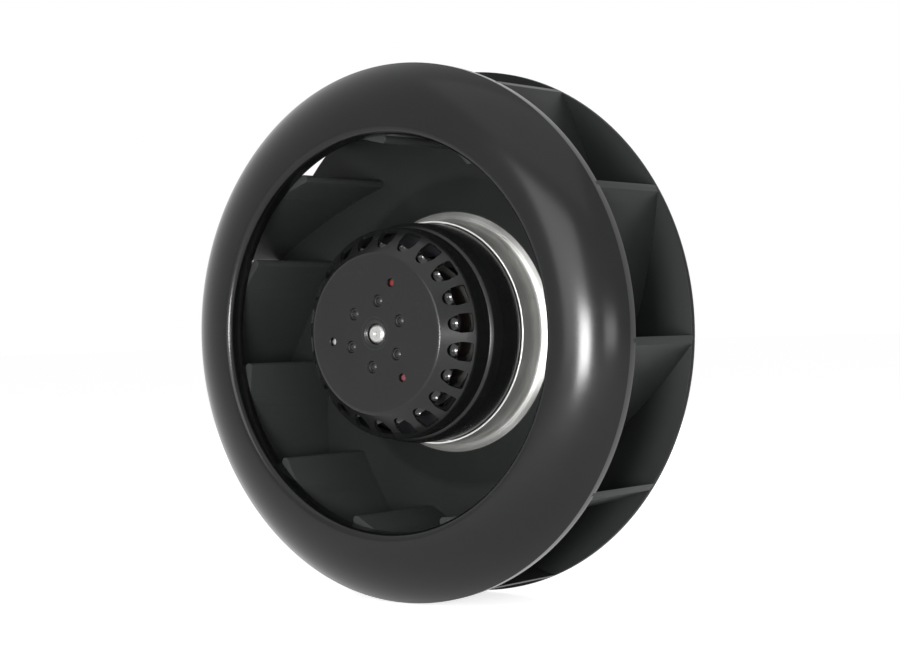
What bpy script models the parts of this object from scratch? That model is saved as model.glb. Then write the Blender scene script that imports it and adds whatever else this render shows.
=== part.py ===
# Centrifugal fan: a backward-curved plastic wheel on an external-rotor motor.
# Metres, +Z up. The axis is Y. The origin is on the axis at the motor's mounting face, and the
# inlet looks along -Y. Outlines are (radius, depth) pairs, where depth is the distance forward of
# the mounting face.

import math

import bmesh
import bpy
from mathutils import Matrix, Vector

MM = 0.001

# Clearances
SEAT = 0.3 * MM  # between pieces that touch or are pressed together
RUNNING = 0.35 * MM  # between pieces that turn past each other
AIR_GAP = 0.35 * MM  # rotor laminations to stator laminations

# Wheel
WHEEL_R = 112.5 * MM
WHEEL_SEGMENTS = 44
PLATE_BACK = 6.5 * MM
PLATE_THICK = 2.5 * MM
CREASE_INSET = 12.45 * MM  # from the blades' noses in to the crease where the hub rises
HUB_TIP_WIDTH = 0.6 * MM
HUB_LIP = 1.5 * MM

# Inlet shroud: a dome of one radius that rolls over a lip into the throat
THROAT_R = 82.4 * MM
SHROUD_WALL = 2.1 * MM
LIP_R = 3.1 * MM
RIM_ANGLE = 27.7  # degrees above the wheel's plane at which the dome's underside ends
CREST = 70.4 * MM
THROAT_END = 61.9 * MM

# Blades, as seen from the inlet, where angles run counter-clockwise from +X
BLADES = 11
BLADE_START = -2.8  # degrees, the first trailing edge
BLADE_WRAP = 36.9  # degrees from the nose's centre to the trailing edge
NOSE_INSET = 1.45 * MM  # from the throat in to the nose's centre
NOSE_THICK = 3.6 * MM
TAIL_THICK = 2.0 * MM
BLADE_CAMBER = 2.2 * MM
BLADE_RAMP = 1.4 * MM  # radial length of the step up to the shroud's underside

# Sheet-metal ring that carries the wheel on the rotor
SHEET = 0.8 * MM
RING_FRONT = 33.7 * MM
FLARE_START = 28.4 * MM
FLARE_R = 13.0 * MM
FLARE_TURN = 36.9  # degrees
SKIRT = 5.0 * MM

# Rotor bell
BELL_R = 46.3 * MM
BELL_WALL = 1.8 * MM
BELL_REAR = 7.5 * MM
BELL_NECK_R = 43.9 * MM
SHOULDER_BACK = 47.0 * MM
SHOULDER_FRONT = 52.5 * MM
NECK_FRONT = 61.0 * MM
FACE_R = 33.0 * MM
FACE = 72.3 * MM
BOSS_R = 8.0 * MM
BOSS_STEP = 62.0 * MM
FACE_RECESS = 0.8 * MM
SHOULDER_SHARE = 0.6  # of the shoulder's length, back to its middle edge
CREASE_SHARE = 0.72  # of the slanted band's width, out to its crease
CREASE_PROUD = 0.2 * MM
BELL_SEGMENTS = 44

# Openings and marks in the bell
VENTS = 22
VENT_START = 4.9  # degrees
VENT_MID_R = 39.2 * MM
VENT_WIDTH = 7.8 * MM
VENT_LENGTH = 10.6 * MM
VENT_NOSE_R = 2.7 * MM
VENT_FLANK = 4.8 * MM  # length of the parallel sides
VENT_CORNER = 1.1 * MM
SCOOP_LENGTH = 4.8 * MM
SCOOP_WIDTH = 5.8 * MM
SCOOP_TIP = 0.4  # of the scoop's width, at its free edge
SCOOP_DROP = 2.8 * MM
SCOOP_THICK = 1.0 * MM
PLUGS = 3
PLUG_START = 67.0  # degrees
PLUG_PITCH_R = 22.6 * MM
PLUG_R = 1.5 * MM
PLUG_LENGTH = 2.6 * MM
PLUG_RECESS = 1.2 * MM
PLUG_CHAMFER = 0.4 * MM
DIMPLES = 6
DIMPLE_START = 22.0  # degrees
DIMPLE_PITCH_R = 13.7 * MM
DIMPLE_R = 1.5 * MM
DIMPLE_DEPTH = 0.6 * MM

# Shaft and bearings
SHAFT_R = 4.0 * MM
SHAFT_REAR = 2.6 * MM
SHAFT_RECESS = 0.4 * MM
SHAFT_CHAMFER = 1.0 * MM
CENTRE_DRILL_R = 1.2 * MM
BEARING_R = 11.0 * MM
BEARING_WIDTH = 7.0 * MM
REAR_BEARING = 5.0 * MM
FRONT_BEARING = 50.0 * MM
INNER_RACE_R = 6.4 * MM
OUTER_RACE_R = 9.1 * MM
BALLS = 7
BALL_PITCH_R = 7.75 * MM
BALL_R = 1.75 * MM
CAGE_WALL = 0.8 * MM
CAGE_WIDTH = 3.0 * MM
CLIP_WIDTH = 0.7 * MM
CLIP_DEPTH = 0.5 * MM
CLIP_HEIGHT = 2.2 * MM
CLIP_OPENING = 60.0  # degrees
WASHER_THICK = 0.4 * MM
WASHER_WAVE = 0.35 * MM
WASHER_WAVES = 3
WASHER_WIDTH = 1.8 * MM

# Stator flange with its bearing tube
FLANGE_R = 46.0 * MM
FLANGE_THICK = 4.0 * MM
FLANGE_CHAMFER = 0.8 * MM
TUBE_WALL = 2.9 * MM
TUBE_SHOULDER = 1.4 * MM  # how far the bore narrows between the bearings
TUBE_FRONT = 58.2 * MM
FOOT_R = 16.4 * MM
RIM_TOP = 11.0 * MM
RIM_WALL = 2.0 * MM
RIM_GAP = 1.0 * MM
SCREW_HOLES = 4
SCREW_START = 45.0  # degrees
SCREW_PITCH_R = 37.0 * MM
SCREW_HOLE_R = 1.8 * MM
SCREW_DEPTH = 8.0 * MM
SCREW_BOSS_R = 4.5 * MM
SCREW_BOSS_TOP = 10.0 * MM
BOSS_CLEARANCE = 1.0 * MM  # to the rear coils
CAP_THICK = 1.6 * MM
CABLE_PITCH_R = 24.0 * MM
CABLE_ANGLE = -90.0  # degrees
CABLE_HOLE_R = 4.7 * MM
CABLE_RECESS_R = 7.2 * MM
CABLE_RECESS = 1.6 * MM
CABLE_R = 2.6 * MM
GROMMET_LIP = 1.3 * MM

# Stator and rotor laminations, insulation and windings
STACK_BACK = 14.3 * MM
STACK_LENGTH = 30.0 * MM
STATOR_R = 33.5 * MM
TEETH = 18
TOOTH_WIDTH = 4.0 * MM
TOOTH_TIP = 1.2 * MM
SLOT_MOUTH = 2.4 * MM
SLOT_BOTTOM_R = 20.5 * MM
END_RING_HEIGHT = 3.0 * MM
END_RING_INSET = 1.6 * MM
INSULATOR_THICK = 1.0 * MM
INSULATOR_R = 32.5 * MM
INSULATOR_COLLAR = 6.0 * MM
WINDING_R = 31.0 * MM
WINDING_ROUND = 2.2 * MM
WINDING_FRONT = 55.0 * MM
WINDING_REAR = 5.8 * MM
CUTOUT_SIZE = (11.0 * MM, 4.0 * MM, 6.0 * MM)
CUTOUT_ANGLE = 90.0  # degrees

# Facets around the smaller turned pieces
HOLE_SEGMENTS = 10
SMALL_SEGMENTS = 16
MOTOR_SEGMENTS = 22
FLANGE_SEGMENTS = 28
CAGE_SEGMENTS = 14

# Sizes that follow from the ones above
plate_front = PLATE_BACK + PLATE_THICK
dome_centre_r = THROAT_R + LIP_R
dome_inner_r = (WHEEL_R - dome_centre_r) / math.cos(math.radians(RIM_ANGLE))
dome_r = dome_inner_r + SHROUD_WALL
dome_centre = CREST - dome_r
nose_r = THROAT_R - NOSE_INSET
crease_r = nose_r - NOSE_THICK / 2 - CREASE_INSET
blade_foot = plate_front + SEAT
blade_top = THROAT_END - SEAT
ring_bore_r = BELL_R + SEAT
hub_tip = FLARE_START - FLARE_R * math.sin(math.radians(FLARE_TURN))
bell_bore_r = BELL_R - BELL_WALL
tube_bore_r = BEARING_R + SEAT
tube_r = tube_bore_r + TUBE_WALL
stack_front = STACK_BACK + STACK_LENGTH
stator_bore_r = tube_r + SEAT
rotor_core_bore_r = STATOR_R + AIR_GAP
race_bore_r = SHAFT_R + SEAT


# Polar and outline helpers
def polar(radius, degrees):
    angle = math.radians(degrees)
    return Vector((radius * math.cos(angle), radius * math.sin(angle)))


def place(radius, degrees, depth):
    spot = polar(radius, degrees)
    return Vector((spot.x, -depth, spot.y))


def arc(centre, radius, start, end, steps):
    points = []
    for i in range(steps + 1):
        spot = polar(radius, start + (end - start) * i / steps)
        points.append((centre[0] + spot.x, centre[1] + spot.y))
    return points


# Material and object helpers
def material(name, colour, roughness, metallic):
    made = bpy.data.materials.new(name)
    made.use_nodes = True
    shader = made.node_tree.nodes["Principled BSDF"]
    shader.inputs["Base Color"].default_value = (*colour, 1.0)
    shader.inputs["Roughness"].default_value = roughness
    shader.inputs["Metallic"].default_value = metallic
    made.diffuse_color = (*colour, 1.0)
    return made


def mesh_from(bm, name):
    bmesh.ops.remove_doubles(bm, verts=bm.verts, dist=1e-6)
    bmesh.ops.recalc_face_normals(bm, faces=bm.faces)
    mesh = bpy.data.meshes.new(name)
    bm.to_mesh(mesh)
    bm.free()
    mesh.shade_smooth()
    mesh.set_sharp_from_angle(angle=math.radians(32))
    return mesh


def add(name, mesh, look, parent=None):
    made = bpy.data.objects.new(name, mesh)
    bpy.context.scene.collection.objects.link(made)
    if look:
        mesh.materials.clear()
        mesh.materials.append(look)
    made.parent = parent
    return made


def axis_empty(name):
    made = bpy.data.objects.new(name, None)
    made.empty_display_type = "ARROWS"
    made.empty_display_size = 0.02
    bpy.context.scene.collection.objects.link(made)
    return made


def turned(bm, outline, segments, sweep=360.0):
    """Spins a closed (radius, depth) outline about the Y axis, from +X towards +Z."""
    verts = [bm.verts.new((r, -d, 0.0)) for r, d in outline]
    edges = [bm.edges.new((verts[i - 1], verts[i])) for i in range(len(verts))]
    whole = sweep >= 360.0
    if not whole:
        bm.faces.new(verts)
    spun = bmesh.ops.spin(
        bm,
        geom=edges,
        cent=(0, 0, 0),
        axis=(0, 1, 0),
        angle=-math.radians(sweep),
        steps=segments,
        use_merge=whole,
    )
    if not whole:
        last = [item for item in spun["geom_last"] if isinstance(item, bmesh.types.BMEdge)]
        bmesh.ops.contextual_create(bm, geom=last)


def turned_mesh(name, outline, segments, sweep=360.0):
    bm = bmesh.new()
    turned(bm, outline, segments, sweep)
    return mesh_from(bm, name)


def cylinder(bm, radius, low, high, radial, degrees):
    """A closed cylinder parallel to the axis, from depth low to depth high."""
    middle = place(radial, degrees, (low + high) / 2)
    turn = Matrix.Rotation(math.radians(90), 4, "X")
    bmesh.ops.create_cone(
        bm,
        cap_ends=True,
        segments=HOLE_SEGMENTS,
        radius1=radius,
        radius2=radius,
        depth=high - low,
        matrix=Matrix.Translation(middle) @ turn,
    )


def helper(name, bm):
    made = add(name, mesh_from(bm, name), None)
    made.hide_render = True
    made.display_type = "WIRE"
    return made


def boolean(target, other, operation):
    step = target.modifiers.new(other.name, "BOOLEAN")
    step.operation = operation
    step.object = other
    step.solver = "EXACT"


for old in list(bpy.data.objects):
    bpy.data.objects.remove(old, do_unlink=True)

black_gloss = material("black_gloss_plastic", (0.012, 0.013, 0.013), 0.22, 0.0)
black_paint = material("black_paint", (0.010, 0.011, 0.011), 0.35, 0.0)
zinc = material("zinc_sheet", (0.72, 0.73, 0.72), 0.25, 1.0)
steel = material("ground_steel", (0.60, 0.60, 0.60), 0.22, 1.0)
cage_brass = material("cage_brass", (0.62, 0.46, 0.20), 0.35, 1.0)
spring_steel = material("spring_steel", (0.18, 0.17, 0.16), 0.35, 1.0)
casting = material("cast_aluminium", (0.55, 0.56, 0.57), 0.45, 1.0)
lamination = material("lamination_steel", (0.22, 0.23, 0.25), 0.40, 1.0)
copper = material("varnished_copper", (0.20, 0.07, 0.03), 0.30, 1.0)
insulation = material("white_insulation", (0.78, 0.77, 0.72), 0.55, 0.0)
rubber = material("black_rubber", (0.020, 0.020, 0.020), 0.75, 0.0)
red_plug = material("red_plug", (0.45, 0.05, 0.06), 0.45, 0.0)

stator = axis_empty("stator")
impeller = axis_empty("impeller_axis")


# Inlet shroud
def under_dome(radius, offset=0.0):
    """Depth of the shroud's underside at a radius, less an offset square to it."""
    reach = dome_inner_r - offset
    return dome_centre + math.sqrt(reach**2 - (radius - dome_centre_r) ** 2)


def shroud_outline():
    lip_centre = (dome_centre_r, CREST - LIP_R)
    outer_end = math.degrees(math.acos((WHEEL_R - dome_centre_r) / dome_r))
    outline = arc((dome_centre_r, dome_centre), dome_r, outer_end, 90, 6)
    outline += arc(lip_centre, LIP_R, 90, 180, 3)[1:]
    outline += [(THROAT_R, THROAT_END), (THROAT_R + SHROUD_WALL, THROAT_END)]
    outline += arc(lip_centre, LIP_R - SHROUD_WALL, 180, 90, 1)
    outline += arc((dome_centre_r, dome_centre), dome_inner_r, 90, RIM_ANGLE, 7)[1:]
    return outline


add("inlet_shroud", turned_mesh("inlet_shroud", shroud_outline(), WHEEL_SEGMENTS), black_gloss, impeller)


# Hub ring, and the back plate whose hub is moulded over the ring's skirt
def skirt_point(along, out):
    """A point measured from the flare's end, along the skirt and square to it."""
    turn = math.radians(FLARE_TURN)
    end_r = ring_bore_r + SHEET + FLARE_R * (1 - math.cos(turn))
    return (
        end_r + along * math.sin(turn) + out * math.cos(turn),
        hub_tip - along * math.cos(turn) + out * math.sin(turn),
    )


def ring_outline():
    flare_centre = (ring_bore_r + SHEET + FLARE_R, FLARE_START)
    outline = [(ring_bore_r, RING_FRONT), (ring_bore_r + SHEET, RING_FRONT)]
    outline += arc(flare_centre, FLARE_R, 180, 180 + FLARE_TURN, 3)
    outline += [skirt_point(SKIRT, 0), skirt_point(SKIRT, -SHEET)]
    outline += arc(flare_centre, FLARE_R + SHEET, 180 + FLARE_TURN, 180, 3)
    return outline


def plate_outline():
    slot_floor = -SHEET - SEAT
    lip_floor = slot_floor - HUB_LIP
    mouth_r, mouth = skirt_point(SEAT * math.tan(math.radians(FLARE_TURN)), SEAT)
    inner_r, inner = skirt_point(SKIRT + HUB_LIP, lip_floor)
    cone_slope = (crease_r - mouth_r - HUB_TIP_WIDTH) / (mouth - plate_front)
    return [
        (WHEEL_R, PLATE_BACK),
        (WHEEL_R, plate_front),
        (crease_r, plate_front),
        (mouth_r + HUB_TIP_WIDTH, mouth),
        (mouth_r, mouth),
        skirt_point(SKIRT + SEAT, SEAT),
        skirt_point(SKIRT + SEAT, slot_floor),
        skirt_point(HUB_LIP, slot_floor),
        skirt_point(HUB_LIP, lip_floor),
        (inner_r, inner),
        (inner_r + (inner - PLATE_BACK) * cone_slope, PLATE_BACK),
    ]


add("hub_ring", turned_mesh("hub_ring", ring_outline(), BELL_SEGMENTS), zinc, impeller)
add("back_plate", turned_mesh("back_plate", plate_outline(), WHEEL_SEGMENTS), black_gloss, impeller)


# Blades: a cambered plate with a round nose, whose front edge follows the shroud's underside
def blade_side(u, side):
    nose = polar(nose_r, -BLADE_WRAP)
    chord = polar(WHEEL_R, 0) - nose
    out = Vector((chord.y, -chord.x)).normalized()
    spot = nose + chord * u + out * (4 * BLADE_CAMBER * u * (1 - u))
    along = (chord + out * (4 * BLADE_CAMBER * (1 - 2 * u))).normalized()
    thick = NOSE_THICK + (TAIL_THICK - NOSE_THICK) * u
    return spot + Vector((along.y, -along.x)) * (side * thick / 2), along


def side_at_radius(radius, side):
    low, high = 0.0, 1.1
    for _ in range(40):
        middle = (low + high) / 2
        if blade_side(middle, side)[0].length < radius:
            low = middle
        else:
            high = middle
    return low


def blade_height(radius):
    step_r = THROAT_R + SHROUD_WALL + SEAT
    if radius < step_r + BLADE_RAMP / 2:
        return blade_top
    return under_dome(radius, SEAT)


def blade_mesh():
    step_r = THROAT_R + SHROUD_WALL + SEAT
    steps = 6
    radii = [step_r]
    for i in range(steps + 1):
        radii.append(step_r + BLADE_RAMP + (WHEEL_R - step_r - BLADE_RAMP) * i / steps)
    sides = {}
    for side in (-1, 1):
        first = side_at_radius(step_r, side)
        places = [first * i / 3 for i in range(3)] + [side_at_radius(r, side) for r in radii]
        sides[side] = [blade_side(u, side)[0] for u in places]
    nose, along = blade_side(0, 0)
    across = Vector((along.y, -along.x))
    tip = []
    for degrees in (-60, -30, 0, 30, 60):
        swing = math.radians(degrees)
        reach = across * math.sin(swing) - along * math.cos(swing)
        tip.append(nose + reach * (NOSE_THICK / 2))
    loop = sides[-1][::-1] + tip + sides[1]
    bm = bmesh.new()
    foot = [bm.verts.new((p.x, -blade_foot, p.y)) for p in loop]
    top = [bm.verts.new((p.x, -blade_height(p.length), p.y)) for p in loop]
    count = len(loop)
    for i in range(count):
        bm.faces.new((foot[i - 1], foot[i], top[i], top[i - 1]))
    bm.faces.new(foot)
    level = len(radii) - 1
    bm.faces.new(top[level : count - level])
    for i in range(level):
        bm.faces.new((top[i], top[i + 1], top[count - 2 - i], top[count - 1 - i]))
    return mesh_from(bm, "blade")


blade = blade_mesh()
for k in range(BLADES):
    made = add("blade_%02d" % (k + 1), blade, black_gloss, impeller)
    made.rotation_euler.y = -math.radians(BLADE_START + 360 / BLADES * k)


# Rotor bell
def bell_outline():
    shaft_bore_r = SHAFT_R + SEAT
    boss_end = FRONT_BEARING + BEARING_WIDTH + SEAT
    slant = Vector((BELL_NECK_R - FACE_R, FACE - NECK_FRONT)).normalized() * BELL_WALL
    shoulder = SHOULDER_FRONT - SHOULDER_BACK
    round_in = (BELL_R - BELL_NECK_R) / 2
    crease = Vector((FACE_R, FACE)).lerp(Vector((BELL_NECK_R, NECK_FRONT)), CREASE_SHARE)
    crease += Vector((slant.y, slant.x)).normalized() * CREASE_PROUD
    return [
        (shaft_bore_r, FACE - FACE_RECESS),
        (shaft_bore_r + FACE_RECESS, FACE),
        (FACE_R, FACE),
        tuple(crease),
        (BELL_NECK_R, NECK_FRONT),
        (BELL_NECK_R, SHOULDER_FRONT),
        (BELL_NECK_R + round_in, SHOULDER_BACK + shoulder * SHOULDER_SHARE),
        (BELL_R, SHOULDER_BACK),
        (BELL_R, BELL_REAR),
        (bell_bore_r, BELL_REAR),
        (bell_bore_r, SHOULDER_BACK - BELL_WALL / 2),
        (BELL_NECK_R - BELL_WALL, SHOULDER_FRONT - BELL_WALL / 2),
        (BELL_NECK_R - BELL_WALL, NECK_FRONT - slant.x / 2),
        (FACE_R - slant.x / 2, FACE - BELL_WALL),
        (BOSS_R, FACE - BELL_WALL),
        (BOSS_R, BOSS_STEP),
        (INNER_RACE_R - SEAT, BOSS_STEP),
        (INNER_RACE_R - SEAT, boss_end),
        (shaft_bore_r, boss_end),
    ]


def vent_outline():
    """A bullet with its round nose towards the face: (along the slant, across it)."""
    half = VENT_WIDTH / 2
    end = VENT_LENGTH / 2
    nose = arc((VENT_NOSE_R - end, 0), VENT_NOSE_R, 120, 240, 3)
    return nose + [
        (end - VENT_FLANK, -half),
        (end - VENT_CORNER, -half),
        (end, VENT_CORNER - half),
        (end, half - VENT_CORNER),
        (end - VENT_CORNER, half),
        (end - VENT_FLANK, half),
    ]


def vent_spot(k, along, across, rise):
    """A point of vent k, measured outwards along the slanted band, across it and square to it."""
    slant = Vector((BELL_NECK_R - FACE_R, NECK_FRONT - FACE)).normalized()
    middle = FACE + (VENT_MID_R - FACE_R) * slant.y / slant.x
    radius = VENT_MID_R + along * slant.x - rise * slant.y
    depth = middle + along * slant.y + rise * slant.x
    turn = Matrix.Rotation(-math.radians(VENT_START + 360 / VENTS * k), 3, "Y")
    return turn @ Vector((radius, -depth, across))


def bell_cutter():
    bm = bmesh.new()
    for k in range(VENTS):
        rings = []
        for rise in (-3 * BELL_WALL, 3 * BELL_WALL):
            ring = [bm.verts.new(vent_spot(k, *point, rise)) for point in vent_outline()]
            rings.append(ring)
            bm.faces.new(ring)
        for i in range(len(rings[0])):
            bm.faces.new((rings[0][i - 1], rings[0][i], rings[1][i], rings[1][i - 1]))
    for k in range(PLUGS):
        angle = PLUG_START + 360 / PLUGS * k
        cylinder(bm, PLUG_R + SEAT, FACE - 3 * BELL_WALL, FACE + BELL_WALL, PLUG_PITCH_R, angle)
    for k in range(DIMPLES):
        angle = DIMPLE_START + 360 / DIMPLES * k
        cylinder(bm, DIMPLE_R, FACE - DIMPLE_DEPTH, FACE + BELL_WALL, DIMPLE_PITCH_R, angle)
    return helper("bell_cutter", bm)


bell = add("rotor_bell", turned_mesh("rotor_bell", bell_outline(), BELL_SEGMENTS), black_paint, impeller)
boolean(bell, bell_cutter(), "DIFFERENCE")


def bell_scoops():
    """In each vent a tongue of the bell's metal, bent inwards from the round nose."""
    bm = bmesh.new()
    root = -(VENT_LENGTH + BELL_WALL) / 2
    steps = 3
    for k in range(VENTS):
        rings = []
        for i in range(steps + 1):
            share = i / steps
            along = root + (SCOOP_LENGTH + BELL_WALL / 2) * share
            half = SCOOP_WIDTH / 2 * (1 - (1 - SCOOP_TIP) * share**4)
            top = -(BELL_WALL - SCOOP_THICK) / 2 - SCOOP_DROP * share**2
            low = top - SCOOP_THICK
            corners = ((-half, low), (half, low), (half, top), (-half, top))
            rings.append([bm.verts.new(vent_spot(k, along, *corner)) for corner in corners])
        for back, front in zip(rings, rings[1:]):
            for i in range(4):
                bm.faces.new((back[i - 1], back[i], front[i], front[i - 1]))
        bm.faces.new(rings[0])
        bm.faces.new(rings[-1])
    return helper("bell_scoops", bm)


boolean(bell, bell_scoops(), "UNION")


# Filler plugs pressed into the face
def plug_outline():
    top = FACE - PLUG_RECESS
    return [(0, top - PLUG_LENGTH), (PLUG_R, top - PLUG_LENGTH), (PLUG_R, top - PLUG_CHAMFER),
            (PLUG_R - PLUG_CHAMFER, top), (0, top)]


for k in range(PLUGS):
    bm = bmesh.new()
    turned(bm, plug_outline(), HOLE_SEGMENTS)
    bmesh.ops.translate(bm, verts=bm.verts, vec=place(PLUG_PITCH_R, PLUG_START + 360 / PLUGS * k, 0))
    look = steel if k == 1 else red_plug
    add("face_plug_%d" % (k + 1), mesh_from(bm, "face_plug"), look, impeller)


# Shaft with its retaining clip
def shaft_outline():
    front = FACE - SHAFT_RECESS
    groove_back = REAR_BEARING - CLIP_WIDTH - 2 * SEAT
    groove_r = SHAFT_R - CLIP_DEPTH
    return [
        (0, SHAFT_REAR),
        (SHAFT_R - SHAFT_CHAMFER, SHAFT_REAR),
        (SHAFT_R, SHAFT_REAR + SHAFT_CHAMFER),
        (SHAFT_R, groove_back),
        (groove_r, groove_back),
        (groove_r, REAR_BEARING),
        (SHAFT_R, REAR_BEARING),
        (SHAFT_R, front - SHAFT_CHAMFER),
        (SHAFT_R - SHAFT_CHAMFER, front),
        (CENTRE_DRILL_R, front),
        (0, front - CENTRE_DRILL_R),
    ]


def clip_outline():
    front = REAR_BEARING - SEAT
    back = front - CLIP_WIDTH
    low_r = SHAFT_R - CLIP_DEPTH + SEAT
    high_r = low_r + CLIP_HEIGHT
    return [(low_r, back), (high_r, back), (high_r, front), (low_r, front)]


add("shaft", turned_mesh("shaft", shaft_outline(), SMALL_SEGMENTS), steel, impeller)
clip = turned_mesh("shaft_clip", clip_outline(), SMALL_SEGMENTS, 360 - CLIP_OPENING)
add("shaft_clip", clip, spring_steel, impeller)


# Bearings
def race_outline(back, low_r, high_r, groove_r, outer):
    """A race ring with its ball groove on the outside of the inner ring or the inside of the outer."""
    middle = back + BEARING_WIDTH / 2
    half = BALL_R
    front = back + BEARING_WIDTH
    if outer:
        groove = [(low_r, middle - half), (groove_r, middle), (low_r, middle + half)]
        return [(high_r, front), (high_r, back), (low_r, back)] + groove + [(low_r, front)]
    groove = [(high_r, middle - half), (groove_r, middle), (high_r, middle + half)]
    return [(low_r, front), (low_r, back), (high_r, back)] + groove + [(high_r, front)]


def cage_object(name, back, parent):
    middle = back + BEARING_WIDTH / 2
    low = middle - CAGE_WIDTH / 2
    high = middle + CAGE_WIDTH / 2
    low_r = BALL_PITCH_R - CAGE_WALL / 2
    high_r = BALL_PITCH_R + CAGE_WALL / 2
    band = [(low_r, low), (high_r, low), (high_r, high), (low_r, high)]
    cage = add(name, turned_mesh(name, band, CAGE_SEGMENTS), cage_brass, parent)
    bm = bmesh.new()
    for k in range(BALLS):
        spot = Matrix.Translation(place(BALL_PITCH_R, 360 / BALLS * (k + 0.5), middle))
        bmesh.ops.create_uvsphere(bm, u_segments=7, v_segments=4, radius=BALL_R, matrix=spot)
    boolean(cage, helper(name + "_balls", bm), "UNION")
    return cage


for name, back in (("rear", REAR_BEARING), ("front", FRONT_BEARING)):
    inner_groove = BALL_PITCH_R - BALL_R - RUNNING
    outer_groove = BALL_PITCH_R + BALL_R + RUNNING
    inner = race_outline(back, race_bore_r, INNER_RACE_R, inner_groove, False)
    outer = race_outline(back, OUTER_RACE_R, BEARING_R, outer_groove, True)
    ring = name + "_bearing_inner_ring"
    add(ring, turned_mesh(ring, inner, SMALL_SEGMENTS), steel, impeller)
    ring = name + "_bearing_outer_ring"
    add(ring, turned_mesh(ring, outer, SMALL_SEGMENTS), steel, stator)
    cage_object(name + "_ball_cage", back, axis_empty(name + "_cage_axis"))


# Wave washer that preloads the rear bearing against the tube's shoulder
def washer_mesh():
    middle = REAR_BEARING + BEARING_WIDTH + SEAT + WASHER_WAVE + WASHER_THICK / 2
    low_r = BEARING_R - WASHER_WIDTH
    half = WASHER_THICK / 2
    bm = bmesh.new()
    band = [(low_r, middle - half), (BEARING_R, middle - half),
            (BEARING_R, middle + half), (low_r, middle + half)]
    turned(bm, band, MOTOR_SEGMENTS)
    for vert in bm.verts:
        turn = math.atan2(vert.co.z, vert.co.x)
        vert.co.y -= WASHER_WAVE * math.cos(WASHER_WAVES * turn)
    return mesh_from(bm, "wave_washer")


add("wave_washer", washer_mesh(), spring_steel, stator)


# Stator flange: disc, bearing tube, labyrinth rim and screw bosses in one casting
def flange_outline():
    washer_room = WASHER_THICK + 2 * WASHER_WAVE + 2 * SEAT
    rear_shoulder = REAR_BEARING + BEARING_WIDTH + washer_room
    front_shoulder = FRONT_BEARING - SEAT
    narrow_r = tube_bore_r - TUBE_SHOULDER
    foot_top = STACK_BACK - INSULATOR_THICK - 2 * SEAT
    rim_r = bell_bore_r - RIM_GAP
    return [
        (tube_bore_r, 0),
        (FLANGE_R - FLANGE_CHAMFER, 0),
        (FLANGE_R, FLANGE_CHAMFER),
        (FLANGE_R, FLANGE_THICK),
        (rim_r, FLANGE_THICK),
        (rim_r, RIM_TOP),
        (rim_r - RIM_WALL, RIM_TOP),
        (rim_r - RIM_WALL, FLANGE_THICK),
        (FOOT_R, FLANGE_THICK),
        (FOOT_R, foot_top),
        (tube_r, foot_top),
        (tube_r, TUBE_FRONT),
        (tube_bore_r, TUBE_FRONT),
        (tube_bore_r, front_shoulder),
        (narrow_r, front_shoulder),
        (narrow_r, rear_shoulder),
        (tube_bore_r, rear_shoulder),
    ]


def flange_bosses():
    bm = bmesh.new()
    for k in range(SCREW_HOLES):
        angle = SCREW_START + 360 / SCREW_HOLES * k
        cylinder(bm, SCREW_BOSS_R, FLANGE_THICK / 2, SCREW_BOSS_TOP, SCREW_PITCH_R, angle)
    return helper("flange_bosses", bm)


def coil_room():
    """What the bosses leave free for the rear coils."""
    room_r = WINDING_R + BOSS_CLEARANCE
    low = WINDING_REAR - BOSS_CLEARANCE
    high = SCREW_BOSS_TOP + BOSS_CLEARANCE
    bm = bmesh.new()
    turned(bm, [(0, low), (room_r, low), (room_r, high), (0, high)], FLANGE_SEGMENTS)
    return helper("coil_room", bm)


def flange_cutter():
    hole = [(0, -FLANGE_THICK), (CABLE_RECESS_R, -FLANGE_THICK), (CABLE_RECESS_R, CABLE_RECESS),
            (CABLE_HOLE_R, CABLE_RECESS), (CABLE_HOLE_R, 2 * FLANGE_THICK), (0, 2 * FLANGE_THICK)]
    bm = bmesh.new()
    turned(bm, hole, SMALL_SEGMENTS)
    bmesh.ops.translate(bm, verts=bm.verts, vec=place(CABLE_PITCH_R, CABLE_ANGLE, 0))
    for k in range(SCREW_HOLES):
        angle = SCREW_START + 360 / SCREW_HOLES * k
        cylinder(bm, SCREW_HOLE_R, -FLANGE_THICK, SCREW_DEPTH, SCREW_PITCH_R, angle)
    return helper("flange_cutter", bm)


flange_mesh = turned_mesh("stator_flange", flange_outline(), FLANGE_SEGMENTS)
flange = add("stator_flange", flange_mesh, casting, stator)
bosses = flange_bosses()
boolean(bosses, coil_room(), "DIFFERENCE")
boolean(flange, bosses, "UNION")
boolean(flange, flange_cutter(), "DIFFERENCE")

cap = [(0, 0), (BEARING_R, 0), (BEARING_R, CAP_THICK), (0, CAP_THICK)]
add("end_cap", turned_mesh("end_cap", cap, SMALL_SEGMENTS), casting, stator)


def grommet_mesh():
    neck_r = CABLE_HOLE_R - SEAT
    back = CABLE_RECESS - SEAT
    front = FLANGE_THICK + SEAT
    lip_r = CABLE_RECESS_R - SEAT
    tip = front + GROMMET_LIP / 2
    outline = [(CABLE_R, 0), (lip_r, 0), (lip_r, back), (neck_r, back), (neck_r, front),
               (neck_r + GROMMET_LIP, front), (neck_r, tip), (CABLE_R, tip)]
    bm = bmesh.new()
    turned(bm, outline, SMALL_SEGMENTS)
    bmesh.ops.translate(bm, verts=bm.verts, vec=place(CABLE_PITCH_R, CABLE_ANGLE, 0))
    return mesh_from(bm, "cable_grommet")


add("cable_grommet", grommet_mesh(), rubber, stator)


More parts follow.
